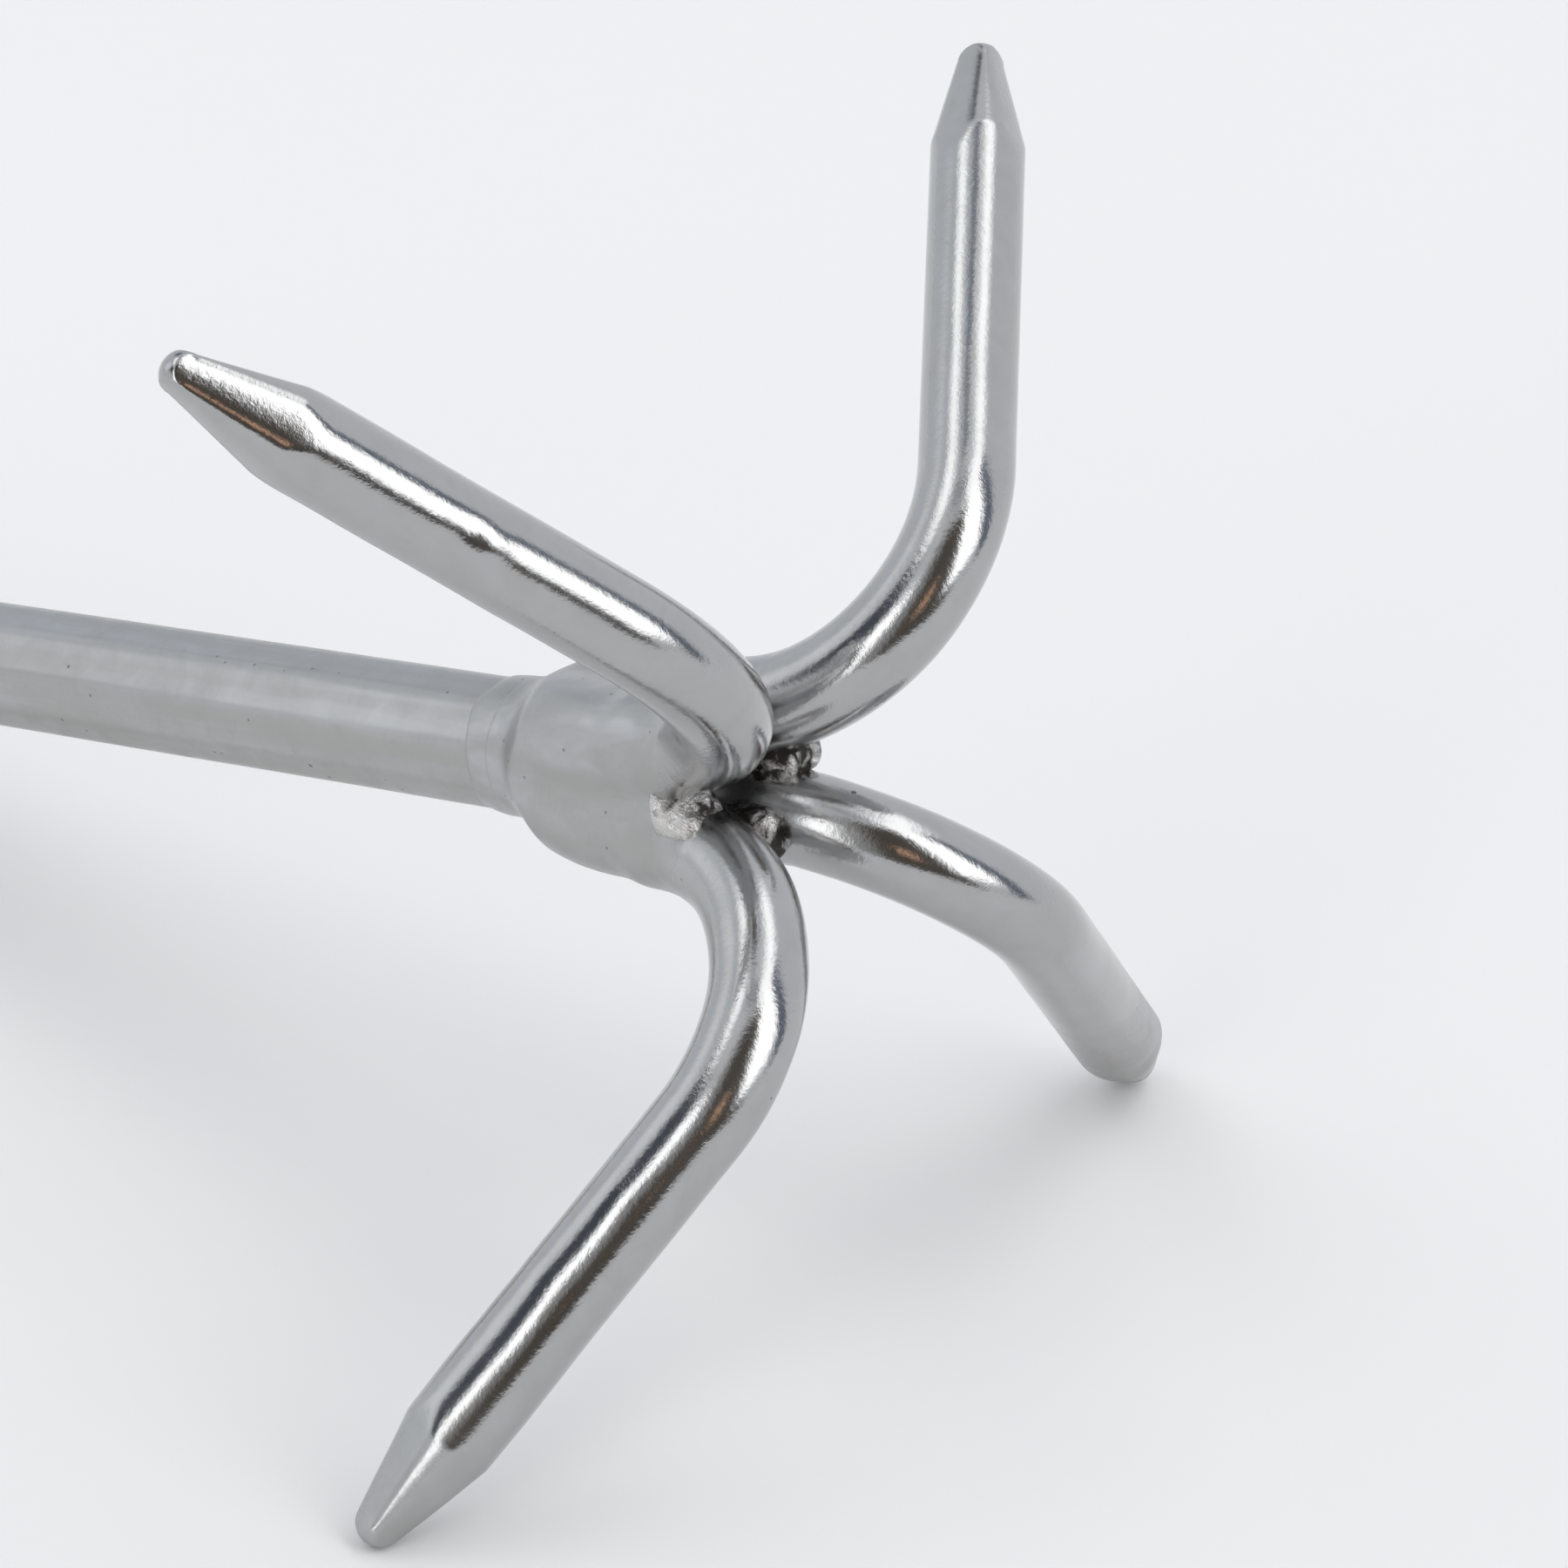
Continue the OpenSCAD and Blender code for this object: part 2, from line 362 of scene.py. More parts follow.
def tine_path(i, s):
    """The middle of tine i and its two crosswise directions at lengths s along it,
    measured from where its bend starts. The first direction points outwards."""
    root = unit(ROOT_AZIMUTH[i]) * ROOT_PITCH_R
    out = unit(ROOT_AZIMUTH[i] + TINE_TWIST[i])
    ahead = np.array([0, 0, 1.0])
    s = np.asarray(s, float)[:, None]
    angle = np.clip(s / BEND_R, 0, TINE_BEND[i])
    cosine, sine = np.cos(angle), np.sin(angle)
    tangent = sine * out + cosine * ahead
    middle = root + BEND_R * (1 - cosine) * out + BEND_R * sine * ahead
    middle = middle + np.minimum(s, 0) * ahead
    middle = middle + np.maximum(s - BEND_R * TINE_BEND[i], 0) * tangent
    outside = sine * ahead - cosine * out
    return middle, outside, np.cross(tangent, outside)


def tine_skin(points, i, radius):
    """How far points are outside the root and the bend of tine i."""
    root = unit(ROOT_AZIMUTH[i]) * ROOT_PITCH_R
    out = unit(ROOT_AZIMUTH[i] + TINE_TWIST[i])
    side = np.array([-out[1], out[0], 0])
    from_centre = points - root - BEND_R * out
    along = np.maximum(points[:, 2], 0)
    return np.hypot(
        np.hypot(from_centre @ out, along) - BEND_R, from_centre @ side
    ) - radius


def crown_r(back):
    """The ground crown's radius, which rises from the shank through a hollow curve."""
    start = SHANK_R + SEAM_H
    skin = (
        CROWN_FRONT_R - CROWN_TAPER * back
        - (CROWN_FRONT_R - CROWN_TAPER - start) * back**4
    )
    return start + (skin - start) * smooth(0, CROWN_RISE, (1 - back) * CROWN_L)


# The weld's rounded corners, how far it is inside the crown's sides at its front, and
# how much it widens to the rear.
WELD_CORNER = 4.6
WELD_INSET = 0.75
WELD_SPREAD = 0.65
# The weld's front: its middle, how much further ahead its rim is, and where that rises.
WELD_FRONT, WELD_RIM = -2.0, 7.4
WELD_RIM_FROM, WELD_RIM_TO = 3.5, 8.5
# Where the ground surfaces start to let go of the tines, and where the skin ends.
RELEASE_FROM, RELEASE = -5, 0.08
ROOTS_END = 11
# Fields that rise by more than 1 for each millimetre are scaled back by these.
RIM_SCALE, GROUND_SCALE = 0.7, 0.93


def crown_field(points):
    """The four roots and their weld, ground together into one rounded body."""
    x, y, ahead = points.T
    off_axis = np.hypot(x, y)
    back = np.clip(-ahead / CROWN_L, 0, 1)

    # The roots, just over the tines' own skin until the tines come out of it.
    skin = ROD_R + 0.05 - 0.15 * smooth(5, 10, ahead)
    roots = tine_skin(points, 0, skin)
    for i in (1, 2, 3):
        roots = blend_min(roots, tine_skin(points, i, skin), 0.8)

    # The weld between them: a rounded square with a sunken front.
    half = CROWN_SIDE - WELD_INSET + WELD_SPREAD * back - WELD_CORNER
    qx, qy = np.abs(x) - half, np.abs(y) - half
    weld = (
        np.hypot(np.maximum(qx, 0), np.maximum(qy, 0))
        + np.minimum(np.maximum(qx, qy), 0)
        - WELD_CORNER
    )
    rim = smooth(WELD_RIM_FROM, WELD_RIM_TO, off_axis)
    front = WELD_FRONT + WELD_RIM * rim + 0.4 * noise(points, 2.1)
    weld = blend_max(weld, (ahead - front) * RIM_SCALE, 2.0)
    field = blend_min(roots, weld, 2.4)

    # The outside and the four sides are ground off, and let go of the tines ahead.
    released = np.maximum(ahead - RELEASE_FROM, 0) ** 2 * RELEASE
    ground = (off_axis - crown_r(back) - 0.12 - released) * GROUND_SCALE
    field = blend_max(field, ground, 1.3)
    sides = np.maximum(np.abs(x), np.abs(y)) - CROWN_SIDE - 0.1 - released
    field = blend_max(field, sides, 1.4)
    field = blend_max(field, -CROWN_L - 0.5 - ahead, 0.6)
    field = blend_max(field, ahead - ROOTS_END, 0.5)

    worked = 1 - smooth(-2, 3, ahead)
    return field - worked * (0.07 * noise(points, 6.5) + 0.02 * noise(points, 2.4))


SHANK_SUNK = 2


def shank_field(points):
    """The shank, with its long flats, its rounded heel and the hole across it."""
    x, y, ahead = points.T
    rim = SHANK_R - HEEL_FILLET
    heel = -CROWN_L - SHANK_L + HEEL_FILLET
    qr, qz = np.hypot(x, y) - rim, heel - ahead
    field = (
        np.hypot(np.maximum(qr, 0), np.maximum(qz, 0))
        + np.minimum(np.maximum(qr, qz), 0)
        - HEEL_FILLET
    )
    field = blend_max(field, ahead + CROWN_L - SHANK_SUNK, 0.5)
    drift = 0.05 * noise(points * [0.3, 0.3, 0.02] + 5, 1.0)
    for turn, depth in SHANK_FLATS:
        side = unit(math.radians(turn))
        field = blend_max(field, points @ side - SHANK_R + depth + drift, 0.12)
    hole = HOLE_R - np.hypot(x, ahead + HOLE_BACK)
    field = blend_max(field, hole, 1.3)
    return field + 0.02 + 0.02 * noise(points, 9.0)


# Where a bead starts, off the axis, and the random seed and number of its lumps.
BEAD_ROOT = 3.0
BEAD_SEED = 70
BEAD_LUMPS = 8


def bead_field(i):
    """Raw weld in the gap between tine i and the next one: a web with a rough face.
    Gives its field, its middle, and how deep in a hollow each of its points is, which
    its material paints as shade."""
    out = unit(BEAD_AZIMUTH[i] + BEAD_LEAN[i])
    aside = np.array([-out[1], out[0], 0])
    reach, front = BEAD_REACH[i], BEAD_FRONT + BEAD_EXTRA[i]
    middle = (reach + BEAD_ROOT) / 2
    core = out * middle + aside * BEAD_ASIDE[i] + np.array([0, 0, front - BEAD_R])
    draw = np.random.default_rng(BEAD_SEED + i)
    lumps = []
    for _ in range(BEAD_LUMPS):
        far, high = draw.uniform(4.5, reach - 1.5), front - draw.uniform(1.7, 3.2)
        off = draw.uniform(-1.2, 1.2) + BEAD_ASIDE[i]
        lumps.append((out * far + aside * off + [0, 0, high], draw.uniform(0.9, 1.7)))

    def field(points):
        far, off, ahead = points @ out, points @ aside - BEAD_ASIDE[i], points[:, 2]
        size = (
            np.abs((far - middle) / (reach - middle)) ** 3
            + np.abs((ahead - front + BEAD_R) / (BEAD_R - 0.5)) ** 3
            + np.abs(off / BEAD_W[i]) ** 3
        )
        found = (np.maximum(size, 1e-6) ** (1 / 3) - 1) * 3.4
        found = found + 0.10 * off**2 * smooth(2, 9, ahead)
        for spot, radius in lumps:
            lump = np.linalg.norm(points - spot, axis=1) - radius
            found = blend_min(found, lump, 0.9)
        ground = 4.4 * smooth(6.5, 9.5, far) - 1.0 - ahead
        return blend_max(found, ground, 0.8) - rough(points)

    def rough(points):
        tilted = points @ TILT
        return 0.32 * noise(tilted, 2.0) + 0.13 * noise(points + 3, 1.1)

    # How much painted shade each point gets: more in creases and where the rough face
    # sinks, less on the beads that are made brighter.
    def hollow(points):
        creases = np.abs(noise(points, 1.9) + 0.7 * noise(points @ TILT, 1.2))
        depth = 0.7 * np.maximum(0.32 - creases, 0) - rough(points)
        return np.clip(0.5 + 1.6 * depth - BEAD_LESS_SHADE[i], 0, 1)

    return field, core, hollow


SHOULDER_BLEND = 0.05
FLAT_BLEND = 0.35


def point_r(i, z, turn):
    """The radius of tine i's point, z along its straight and turned from a flat: a cone
    that ends in a ball, with four flats. FLATNESS is 1 for a plane flat, and less for
    one that still bulges."""
    depth, flatness, tip_r = FLAT_DEPTH[i], FLATNESS[i], TIP_R[i]
    length = TINE_L - TIP_GROUND[i]
    shoulder = length - POINT_L[i]
    cone = POINT_L[i] - tip_r
    angle = math.acos(tip_r / math.hypot(ROD_R, cone)) - math.atan2(cone, ROD_R)
    ball = length - tip_r
    body = np.minimum(ROD_R, ROD_R - (z - shoulder) * math.tan(angle))
    body = -blend_max(-body, np.full_like(body, -ROD_R), SHOULDER_BLEND)
    tip = np.sqrt(np.maximum(tip_r**2 - np.maximum(z - ball, 0) ** 2, 0))
    cone_end = ball + tip_r * math.sin(angle)
    body = np.where(z > cone_end, tip, body)
    ground = ROD_R - ((z - shoulder) * math.sin(angle) + depth) / math.cos(angle)
    quarter = np.mod(turn + math.pi / 4, math.pi / 2) - math.pi / 4
    flat = np.maximum(ground, 0) / np.cos(quarter) ** flatness
    return np.where(
        z > cone_end, np.minimum(body, flat), blend_min(body, flat, FLAT_BLEND)
    )


# A tine's points around, how far its tube reaches back into the crown, and to where its
# rows there are close together.
AROUND = 96
TUBE_FROM, TUBE_DENSE_TO = -6, 3
TIP_GAP = 0.004
# How hazy the steel is: where the tines leave the crown, and where the ends of tines 3
# and 4 turn hazy, as lengths from the start of the bend. Tines 1 and 2 stay polished.
ROOT_HAZE = 0.32
HAZE_RANGE = [None, None, (55, 80), (70, 105)]
WAVINESS = [1.0, 0.8, 1.0, 1.6]
# Small dents and bulges of each tine: place along its straight part, side in degrees,
# height, length, and width in degrees.
DENTS = [
    [(17, 352, 0.16, 1.6, 24), (20, 340, -0.10, 1.8, 26), (33, 10, 0.06, 3, 30)],
    [(12, 300, 0.05, 3, 30)],
    [(8, 330, -0.08, 3, 40)],
    [(10, 80, 0.12, 2.6, 30), (20, 90, 0.10, 2.2, 30), (28, 85, -0.08, 2.5, 40)],
]


def make_tine(i):
    """Tine i, from inside the crown to its tip, with the waviness of hand work."""
    bend_l = BEND_R * TINE_BEND[i]
    end = bend_l + TINE_L - TIP_GROUND[i]
    point, ball = end - POINT_L[i] - 4, end - TIP_R[i]
    s = np.concatenate([
        np.linspace(TUBE_FROM, TUBE_DENSE_TO, 19)[:-1],
        np.linspace(TUBE_DENSE_TO, point, 190)[:-1],
        np.linspace(point, ball, 40)[:-1],
        ball + TIP_R[i] * np.sin(np.linspace(0, math.pi / 2, 14)[:-1]),
        [end - TIP_GAP],
    ])
    turn = np.arange(AROUND) * 2 * math.pi / AROUND
    middle, outside, aside = tine_path(i, s)
    z = np.repeat((s - bend_l)[:, None], AROUND, 1)
    radius = point_r(i, z, turn[None, :] + 0 * z)
    # The tube starts inside the crown, and comes out of it where the crown's skin ends.
    sunk = 0.72 + 0.26 * smooth(0, 2.4, s) + 0.02 * smooth(6, 10, s)
    radius = radius * sunk[:, None]
    way = (
        np.cos(turn)[None, :, None] * outside[:, None]
        + np.sin(turn)[None, :, None] * aside[:, None]
    )
    rings = middle[:, None] + radius[..., None] * way
    flat = rings.reshape(-1, 3) + 31.0 * i
    wave = WAVINESS[i] * (0.05 * noise(flat, 8.0) + 0.014 * noise(flat, 3.6))
    for spot, side, height, length, width in DENTS[i]:
        off = np.angle(np.exp(1j * (turn - math.radians(side)))) / math.radians(width)
        wave = wave + height * np.exp(
            -(((s - bend_l - spot) / length) ** 2)[:, None] - (off**2)[None, :]
        ).ravel()
    fade = np.repeat(smooth(7, 14, s) * (1 - smooth(end - 4, end, s)), AROUND)
    rings = rings + ((wave - 0.03) * fade).reshape(radius.shape)[..., None] * way
    faces, uv = ring_grid(rings, capped=True)
    far = smooth(*HAZE_RANGE[i], s) if HAZE_RANGE[i] else np.zeros(len(s))
    haze = np.repeat(far, AROUND)
    near = np.repeat(ROOT_HAZE * (1 - smooth(9, 18, s)), AROUND)
    return make_object(
        f"steel_tine_{i + 1}", rings.reshape(-1, 3), faces, LAY_HEAD, uv,
        fields={"haze": np.clip(haze + near, 0, 1)},
    )


def make_seam():
    """The weld around the front of the shank: a low uneven band with a crisp rear edge."""
    around = 160
    # distance ahead of the crown's rear and radius; rows 3 to 11 are the outside
    profile = np.array([
        (-2.2, 5.6), (-2.2, 6.6), (-SEAM_W, 6.7), (-4.02, 7.02), (-3.9, 7.1),
        (-3.5, 7.2), (-2.9, 7.3), (-2.2, 7.36), (-1.4, 7.4), (-0.6, 7.4),
        (0.2, 7.38), (0.9, 7.2), (1.0, 5.6),
    ])
    turn = np.arange(around) * 2 * math.pi / around
    rings = []
    for row, (ahead, radius) in enumerate(profile):
        circle = np.stack([np.cos(turn), np.sin(turn), np.zeros(around)], 1)
        spot = circle * SHANK_R + [0, 0, ahead]
        outer = 2 < row < 12
        bump = 0.08 * noise(spot, 2.2) + 0.04 * noise(spot, 0.9) if outer else 0
        drift = 0.5 * noise(circle * SHANK_R, 3.0)
        ring = circle * (radius + bump * np.ones(around))[:, None]
        ring[:, 2] = -CROWN_L + ahead + drift
        rings.append(ring)
    rings = np.array(rings)
    faces, uv = ring_grid(rings, capped=False)
    haze = np.ones(rings.shape[0] * around)
    return make_object(
        "steel_seam_weld", rings.reshape(-1, 3), faces, LAY, uv, fields={"haze": haze}
    )


def make_ring():
    """The loose ring, from round rod, closed by a small butt weld."""
    count, around = 360, 48
    angle = np.arange(count) * 2 * math.pi / count
    turn = np.arange(around) * 2 * math.pi / around
    out = np.stack([np.cos(angle), np.sin(angle), 0 * angle], 1)[:, None]
    up = np.array([0, 0, 1.0])
    way = np.cos(turn)[None, :, None] * out - np.sin(turn)[None, :, None] * up
    rings = RING_R * out + RING_ROD_R * way
    flat = rings.reshape(-1, 3)
    wave = 0.03 * noise(flat, 7.0) - 0.03
    rings = rings + wave.reshape(count, around)[..., None] * way
    faces, uv = ring_grid(rings, capped=False)
    haze = np.full(count * around, RING_HAZE)
    return make_object(
        "steel_rope_ring", rings.reshape(-1, 3), faces, AT_HOLE, uv,
        fields={"haze": haze},
    )


def make_ring_weld():
    """The butt weld of the ring: a low lumpy band around its rod."""
    half_turn = math.asin(RING_WELD_HALF / RING_R)

    def field(points):
        angle = np.arctan2(points[:, 1], points[:, 0]) - RING_WELD_AZIMUTH
        along = angle / half_turn
        radius = np.hypot(np.hypot(points[:, 0], points[:, 1]) - RING_R, points[:, 2])
        bulge = 0.34 * np.sqrt(np.maximum(1 - along**2, 0)) - 0.1
        lumps = 0.09 * noise(points, 1.5) + 0.05 * noise(points, 0.6)
        skin = radius - RING_ROD_R - bulge - lumps * np.maximum(1 - along**2, 0)
        return blend_max(skin, (np.abs(along) - 1.0) * 2.0, 0.2)

    middle = unit(RING_WELD_AZIMUTH) * RING_R
    return make_net(
        "steel_ring_weld", field, middle - 5, middle + 5, 0.22, AT_HOLE,
        {"haze": even(RING_WELD_HAZE)},
    )


# ---------------------------------------------------------------- materials
def add(tree, kind, inputs=None, **settings):
    """A node with its settings, and its inputs linked or set."""
    node = tree.nodes.new("ShaderNode" + kind)
    for key, value in settings.items():
        setattr(node, key, value)
    for key, value in (inputs or {}).items():
        if isinstance(value, bpy.types.NodeSocket):
            tree.links.new(value, node.inputs[key])
        else:
            node.inputs[key].default_value = value
    return node


def spread(tree, value, low, high, to_low=0.0, to_high=1.0):
    """Maps a value from one range to another, and keeps it inside."""
    return add(tree, "MapRange", {
        "Value": value, "From Min": low, "From Max": high,
        "To Min": to_low, "To Max": to_high,
    }).outputs["Result"]


def combine(tree, operation, one, two):
    return add(tree, "Math", {0: one, 1: two}, operation=operation).outputs[0]


def change(tree, operation, value):
    return add(tree, "Math", {0: value}, operation=operation).outputs[0]


def times(tree, one, two):
    return combine(tree, "MULTIPLY", one, two)


def plus(tree, one, two):
    return combine(tree, "ADD", one, two)


def blend_colours(tree, share, one, two):
    """Colour one where share is 0 and two where it is 1, each a colour or a socket."""
    node = add(tree, "Mix", {"Factor": share}, data_type="RGBA")
    for socket, value in ((node.inputs[6], one), (node.inputs[7], two)):
        if isinstance(value, bpy.types.NodeSocket):
            tree.links.new(value, socket)
        else:
            socket.default_value = (*value, 1)
    return node.outputs[2]


def noise_node(tree, coords, scale, detail=3.0, roughness=0.5, distortion=0.0):
    return add(tree, "TexNoise", {
        "Vector": coords, "Scale": scale, "Detail": detail,
        "Roughness": roughness, "Distortion": distortion,
    }).outputs["Fac"]


def stretched(tree, coords, scale):
    return add(tree, "Mapping", {"Vector": coords, "Scale": scale}).outputs[0]


def bump(tree, height, distance, strength=1.0, normal=None):
    inputs = {"Height": height, "Distance": distance, "Strength": strength}
    if normal is not None:
        inputs["Normal"] = normal
    return add(tree, "Bump", inputs).outputs["Normal"]


def pits(tree, coords, scale, size, share):
    """1 in sparse small round pits, 0 elsewhere."""
    cells = add(tree, "TexVoronoi", {"Vector": coords, "Scale": scale, "Randomness": 1.0})
    near = spread(tree, cells.outputs["Distance"], size * 0.6, size, 1.0, 0.0)
    red = add(tree, "SeparateColor", {0: cells.outputs["Color"]}).outputs[0]
    return times(tree, near, combine(tree, "LESS_THAN", red, share))


def new_material(name):
    material = bpy.data.materials.new(name)
    material.use_nodes = True
    tree = material.node_tree
    shader = tree.nodes["Principled BSDF"]
    shader.inputs["Metallic"].default_value = 1.0
    return material, tree, shader


def field_of(tree, name, output="Fac"):
    return add(tree, "Attribute", attribute_name=name).outputs[output]


# Tints of the steel, as the base colour of its metal.
COOL_STEEL, WARM_STEEL = (0.450, 0.453, 0.459), (0.422, 0.421, 0.419)
SMEAR_TINT, SWIRL_TINT = (0.40, 0.392, 0.375), (0.39, 0.385, 0.38)
BRIGHT_BAND, DULL_BAND = (0.49, 0.495, 0.505), (0.40, 0.396, 0.385)
GRAIN_TINT, PIT_TINT = (0.38, 0.375, 0.37), (0.09, 0.085, 0.08)
# The weld's own colour, and the dark colour that paints shade into its hollows and oxide
# in random patches.
WELD_BRIGHT, WELD_SHADE_AND_OXIDE = (0.60, 0.59, 0.58), (0.05, 0.045, 0.04)


def worked_steel(name, streak, band, pitting):
    """Stainless steel between two finishes: polished where haze is 0, and ground and
    buffed, with swirls, smears, bands and pits, where haze is 1.
    streak, band: how often fine grain and broad bands repeat, per metre in X, Y and Z."""
    material, tree, shader = new_material(name)
    place = field_of(tree, "place", "Vector")
    haze = field_of(tree, "haze")
    blotch = noise_node(tree, place, 62, 5, 0.6, 0.6)
    cloud = noise_node(tree, place, 190, 4, 0.6, 1.2)
    swirl = noise_node(tree, place, 230, 2, 0.5, 7.0)
    grit = noise_node(tree, place, 1700, 3, 0.7)
    grain = noise_node(tree, stretched(tree, place, streak), 1.0, 3, 0.65)
    bands = noise_node(tree, stretched(tree, place, band), 1.0, 3, 0.55, 0.3)
    pitted = pits(tree, place, 300, 0.11, pitting)
    specks = pits(tree, place, 800, 0.2, 0.08)
    smear = times(tree, spread(tree, blotch, 0.50, 0.72), haze)
    whorl = times(tree, spread(tree, swirl, 0.52, 0.75, 0, 0.4), haze)
    bright = times(tree, spread(tree, bands, 0.50, 0.58, 0, 0.75), haze)
    dull = times(tree, spread(tree, bands, 0.46, 0.38, 0, 0.6), haze)
    speck = times(tree, times(tree, specks, haze), 0.5)
    dark = combine(tree, "MAXIMUM", times(tree, pitted, 0.8), speck)

    tint = blend_colours(tree, spread(tree, cloud, 0.3, 0.7), COOL_STEEL, WARM_STEEL)
    for share, colour in (
        (times(tree, smear, 0.6), SMEAR_TINT),
        (whorl, SWIRL_TINT),
        (bright, BRIGHT_BAND),
        (dull, DULL_BAND),
        (spread(tree, grain, 0.58, 0.85, 0, 0.3), GRAIN_TINT),
        (dark, PIT_TINT),
    ):
        tint = blend_colours(tree, share, tint, colour)
    tree.links.new(tint, shader.inputs["Base Color"])

    rough = spread(tree, blotch, 0.3, 0.7, 0.11, 0.17)
    rough = plus(tree, rough, times(tree, haze, spread(tree, cloud, 0.3, 0.7, 0.15, 0.25)))
    rough = plus(tree, rough, times(tree, dark, 0.4))
    tree.links.new(rough, shader.inputs["Roughness"])

    normal = bump(tree, cloud, 0.00005, 0.5)
    normal = bump(tree, times(tree, swirl, haze), 0.00003, 0.5, normal)
    normal = bump(tree, grit, 0.000028, 0.9, normal)
    normal = bump(tree, grain, 0.00001, 0.6, normal)
    normal = bump(tree, combine(tree, "SUBTRACT", 1.0, dark), 0.00008, 0.8, normal)
    tree.links.new(normal, shader.inputs["Normal"])
    return material


def raw_weld():
    """Unground weld metal: bright on its lumps, darkened with painted shade in its hollows
    and with oxide in random patches.
    """
    material, tree, shader = new_material("raw_weld")
    place = field_of(tree, "place", "Vector")
    hollow = field_of(tree, "hollow")
    coarse = noise_node(tree, place, 900, 4, 0.65, 0.5)
    fine = noise_node(tree, place, 2600, 3, 0.7)
    # Painted shade from how deep in a hollow each point is, plus random dark oxide
    # patches.
    deep = plus(tree, hollow, spread(tree, coarse, 0.35, 0.7, 0.3, -0.3))
    deep = spread(tree, deep, 0.25, 0.75)
    tint = blend_colours(tree, deep, WELD_BRIGHT, WELD_SHADE_AND_OXIDE)
    tree.links.new(tint, shader.inputs["Base Color"])
    tree.links.new(spread(tree, deep, 0, 1, 0.12, 0.45), shader.inputs["Roughness"])
    normal = bump(tree, coarse, 0.0003, 0.9)
    normal = bump(tree, fine, 0.00014, 0.9, normal)
    tree.links.new(normal, shader.inputs["Normal"])
    return material


def pale_floor():
    """A plain matt floor, just uneven enough not to be a flat colour."""
    material, tree, shader = new_material("pale_floor")
    shader.inputs["Metallic"].default_value = 0.0
    place = add(tree, "TexCoord").outputs["Object"]
    cloud = noise_node(tree, place, 6, 3)
    tint = blend_colours(tree, cloud, (0.87, 0.87, 0.87), (0.885, 0.885, 0.885))
    tree.links.new(tint, shader.inputs["Base Color"])
    shader.inputs["Roughness"].default_value = 0.9
    return material


# ---------------------------------------------------------------- studio
# Soft boxes and dark flags around the object: middle azimuth, half width, middle
# elevation, half height, soft edge (all in degrees), and colour. Later ones cover
# earlier ones.
STUDIO = [
    # grey walls
    (-165, 30, 20, 60, 25, (0.78, 0.82, 0.86)),
    (80, 42, 20, 50, 20, (0.84, 0.86, 0.90)),
    (-150, 13, 24, 13, 9, (1.14, 1.16, 1.19)),
    (147, 17, 20, 16, 10, (0.70, 0.75, 0.82)),
    # soft boxes
    (8, 16, 38, 26, 6, (2.6, 2.6, 2.6)),
    (-78, 10, 16, 26, 7, (2.5, 2.5, 2.5)),
    (44, 62, 67, 9, 10, (2.2, 2.2, 2.2)),
    (-138, 30, 60, 8, 10, (2.1, 2.1, 2.1)),
    # dark flags
    (-58, 10, 20, 42, 8, (0.42, 0.42, 0.42)),
    (-32, 21, 18, 44, 8, (0.115, 0.10, 0.085)),
    (34, 7, 22, 36, 5, (0.17, 0.20, 0.26)),
    (-111, 17, 35, 13, 7, (0.09, 0.105, 0.13)),
    (158, 12, 42, 8, 8, (0.16, 0.18, 0.21)),
    (-62, 40, 74, 5, 6, (0.45, 0.47, 0.50)),
    (180, 70, 85, 6, 8, (0.26, 0.29, 0.35)),
    (-14, 14, 3, 6, 4, (0.10, 0.09, 0.08)),
    # a warm spot beside the camera
    (-33, 4, 24, 6, 6, (1.05, 0.64, 0.42)),
]
TOP = (1.0, 1.01, 1.03)
ROOM = (0.80, 0.81, 0.83)
TOP_FROM, TOP_TO = 45, 85


def make_world():
    """The studio, which lights the object and is what its steel reflects."""
    world = bpy.data.worlds.new("studio")
    bpy.context.scene.world = world
    world.use_nodes = True
    tree = world.node_tree
    backdrop = tree.nodes["Background"]
    ray = add(tree, "TexCoord").outputs["Generated"]
    height = add(tree, "SeparateXYZ", {0: ray}).outputs[2]

    def degrees(value):
        return times(tree, value, 180 / math.pi)

    def along(x, y):
        dot = add(tree, "VectorMath", {0: ray, 1: (x, y, 0)}, operation="DOT_PRODUCT")
        return dot.outputs["Value"]

    rise = degrees(change(tree, "ARCSINE", height))
    colour = blend_colours(tree, spread(tree, rise, TOP_FROM, TOP_TO), ROOM, TOP)
    for azimuth, half, middle, high, soft, shade in STUDIO:
        x, y = math.cos(math.radians(azimuth)), math.sin(math.radians(azimuth))
        turn = combine(tree, "ARCTAN2", along(-y, x), along(x, y))
        turn = degrees(change(tree, "ABSOLUTE", turn))
        off = change(tree, "ABSOLUTE", combine(tree, "SUBTRACT", rise, middle))
        across = spread(tree, turn, half - soft / 2, half + soft / 2, 1, 0)
        upward = spread(tree, off, high - soft / 2, high + soft / 2, 1, 0)
        colour = blend_colours(tree, times(tree, across, upward), colour, shade)
    tree.links.new(colour, backdrop.inputs["Color"])
    backdrop.inputs["Strength"].default_value = 1.0


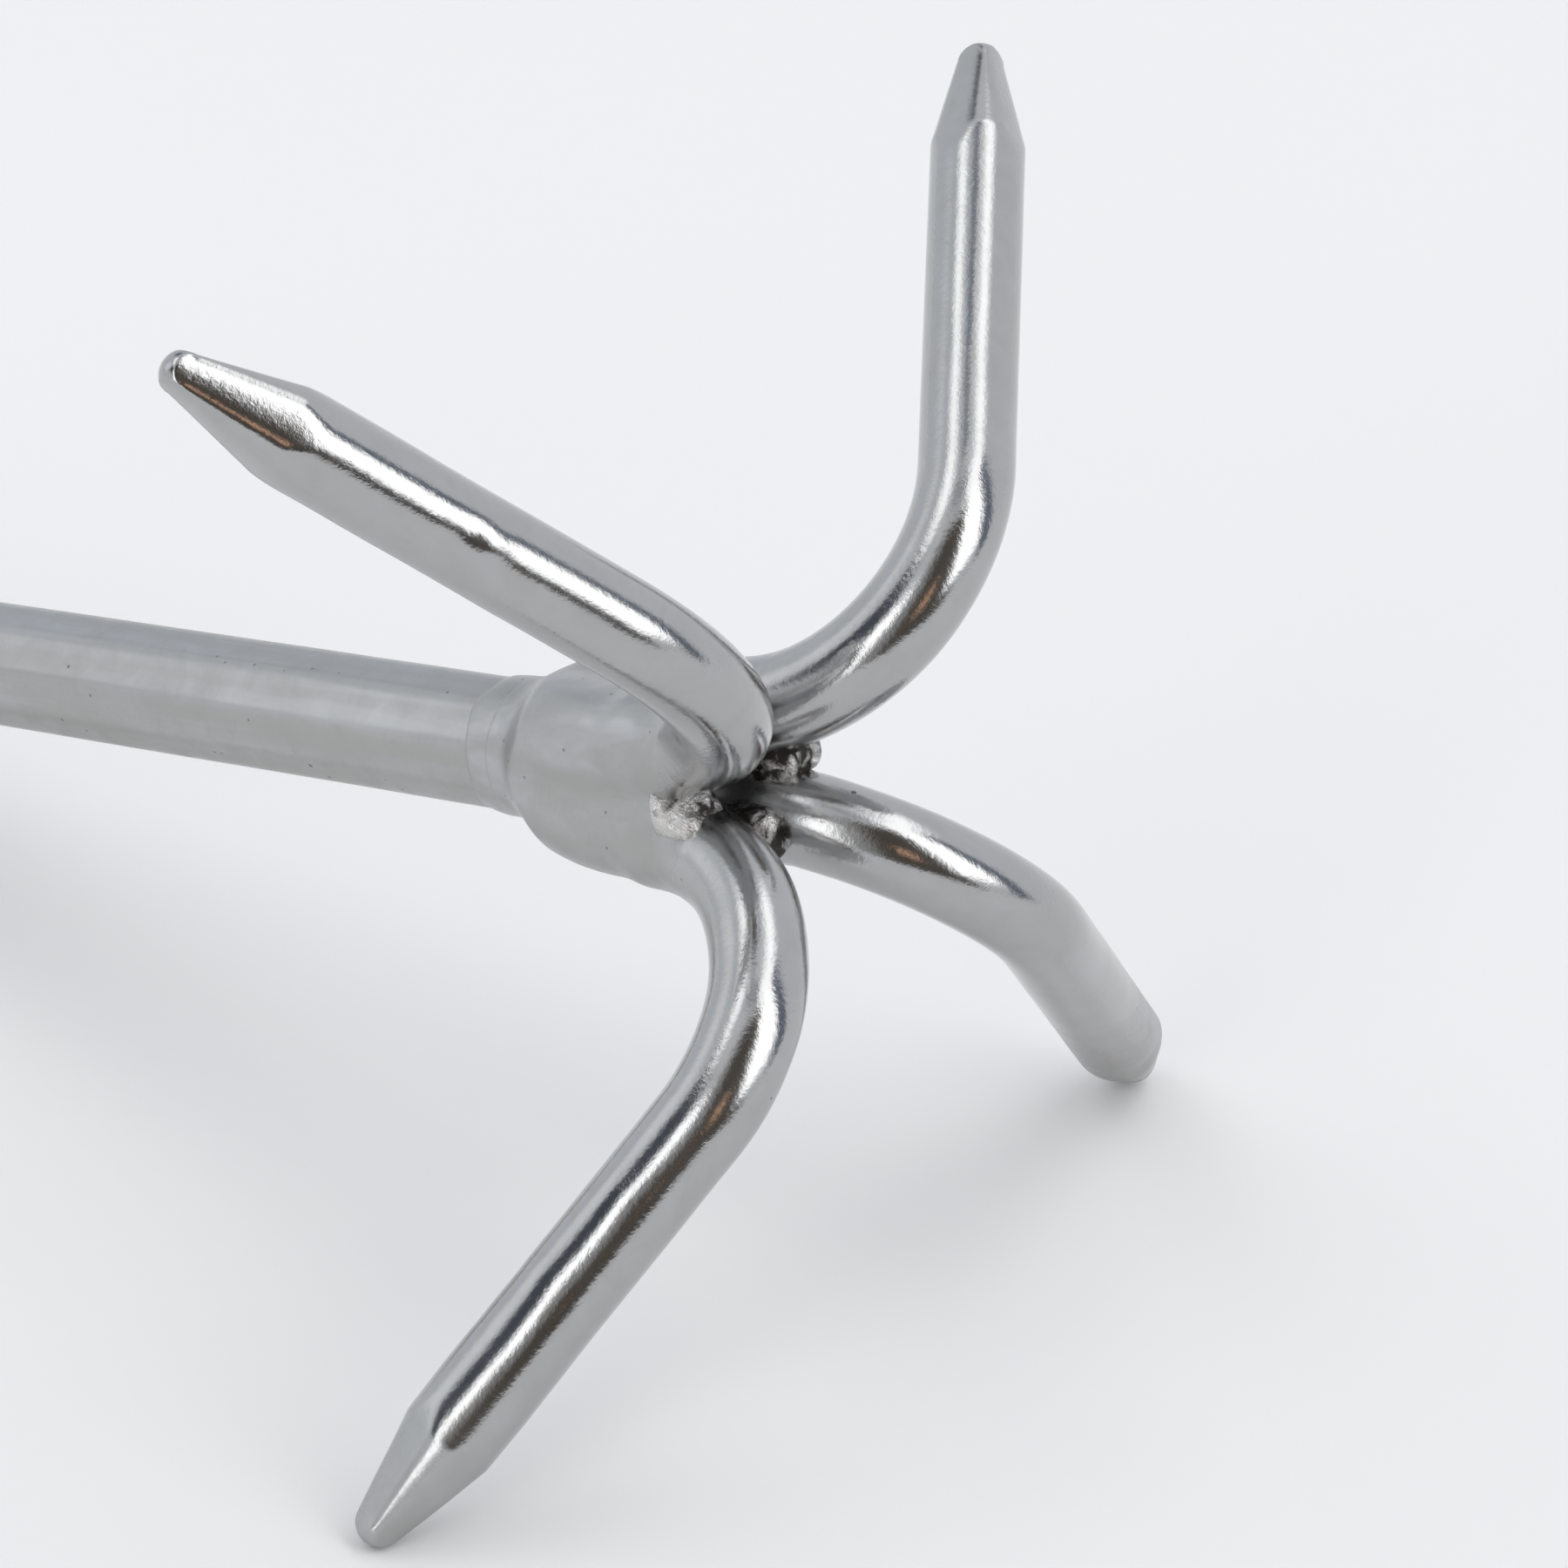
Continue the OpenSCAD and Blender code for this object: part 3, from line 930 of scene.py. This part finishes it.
def make_floor():
    """A floor at the CAD model's lowest point, wide enough to have no edge in view."""
    size = 30.0
    mesh = bpy.data.meshes.new("floor")
    mesh.from_pydata(
        [(-size, -size, 0), (size, -size, 0), (size, size, 0), (-size, size, 0)],
        [], [(0, 1, 2, 3)],
    )
    floor = bpy.data.objects.new("floor", mesh)
    bpy.context.scene.collection.objects.link(floor)
    mesh.materials.append(pale_floor())
    floor.location.z = cad_box[0].z


# ---------------------------------------------------------------- the object
def build():
    """Makes every visible piece, each in place of its CAD node."""
    polished = worked_steel("polished_steel", (700, 700, 700), (90, 90, 90), 0.03)
    crown_steel = worked_steel("crown_steel", (900, 900, 300), (170, 170, 60), 0.10)
    shank_steel = worked_steel("shank_steel", (1500, 1500, 60), (240, 240, 9), 0.05)
    weld_steel = raw_weld()

    def finish(piece, material, body, slot, *nodes):
        piece.data.materials.append(material)
        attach(piece, body)
        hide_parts(*nodes)

    def crown_haze(points):
        return 1 - (1 - ROOT_HAZE) * smooth(3, 9.5, points[:, 2])

    for i in range(4):
        finish(make_tine(i), polished, "root", "polished_steel", f"tine_{i + 1}")

    crown = make_net(
        "steel_crown", crown_field, (-15.5, -15.5, -25), (15.5, 15.5, 13), 0.36,
        LAY_HEAD, {"haze": crown_haze},
    )
    finish(crown, crown_steel, "root", "ground_steel", "crown_weld")
    finish(make_seam(), crown_steel, "root", "ground_steel", "seam_weld")
    shank = make_net(
        "steel_shank", shank_field, (-8, -8, -205.5), (8, 8, -19), 0.45,
        LAY, {"haze": even(1.0)},
    )
    finish(shank, shank_steel, "root", "ground_steel", "shank")

    for i, pair in enumerate(("12", "23", "34", "41")):
        field, core, hollow = bead_field(i)
        bead = make_net(
            f"weld_bead_{pair}", field, core - 8.5, core + 8.5, 0.22, LAY_HEAD,
            {"hollow": hollow},
        )
        finish(bead, weld_steel, "root", "raw_weld", f"bead_{pair}")

    finish(make_ring(), polished, "ring", "polished_steel", "rope_ring")
    finish(make_ring_weld(), polished, "ring", "ground_steel", "ring_weld")


make_world()
make_floor()
build()
